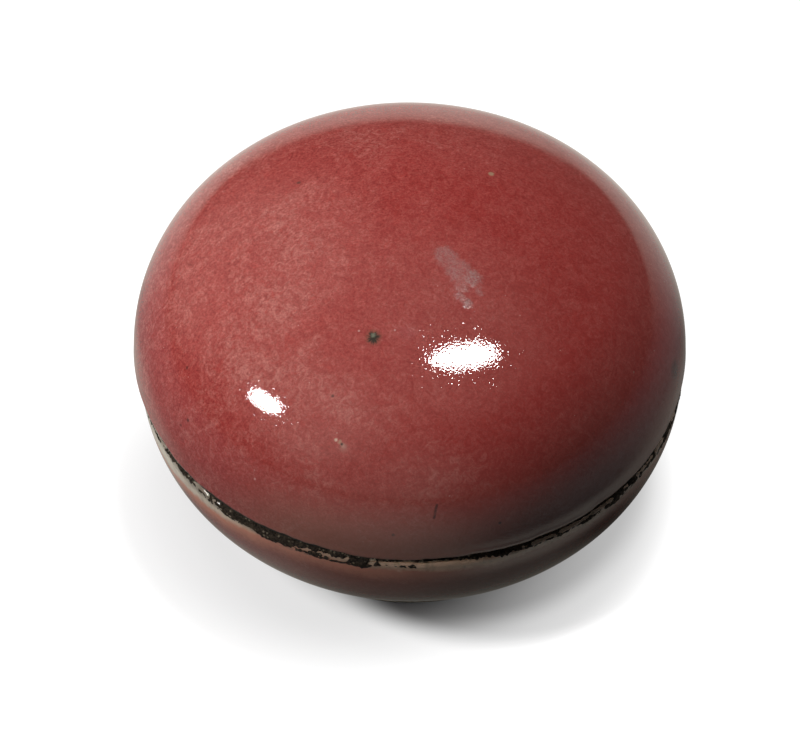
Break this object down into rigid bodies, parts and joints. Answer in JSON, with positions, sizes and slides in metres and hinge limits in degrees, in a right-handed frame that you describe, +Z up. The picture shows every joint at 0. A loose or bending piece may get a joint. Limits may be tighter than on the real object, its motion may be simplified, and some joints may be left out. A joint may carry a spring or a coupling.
{
  "type": "seal paste box",
  "caption": "Round covered porcelain box: a low bowl on a foot ring holds vermilion seal paste, and a domed red-glazed cover fits over the bowl's flange and lifts off.",
  "frame": {"origin": "on the table under the middle of the foot ring", "axes": "+Z up along the box's turning axis; the box is round, so +X and +Y are free"},
  "size_m": [0.076, 0.076, 0.0513],
  "materials": {
    "porcelain": "bare fired porcelain, dry and matt, stained brown in the joint",
    "red_glaze": "glossy copper-red glaze with a fine orange-peel surface",
    "white_glaze": "glossy clear glaze over white porcelain",
    "paste": "soft oily vermilion paste with fine fibres"
  },
  "bodies": {
    "bowl": {"bowl_body": "porcelain", "bowl_outer_glaze": "red_glaze", "bowl_lining_glaze": "white_glaze", "base_glaze": "white_glaze", "seal_paste": "paste"},
    "cover": {"cover_body": "porcelain", "cover_outer_glaze": "red_glaze", "cover_lining_glaze": "white_glaze"}
  },
  "joints": [
    {"name": "cover_lift", "type": "slide", "parent": "bowl", "child": "cover", "axis": [0, 0, 1], "range_m": [0, 0.06]}
  ]
}
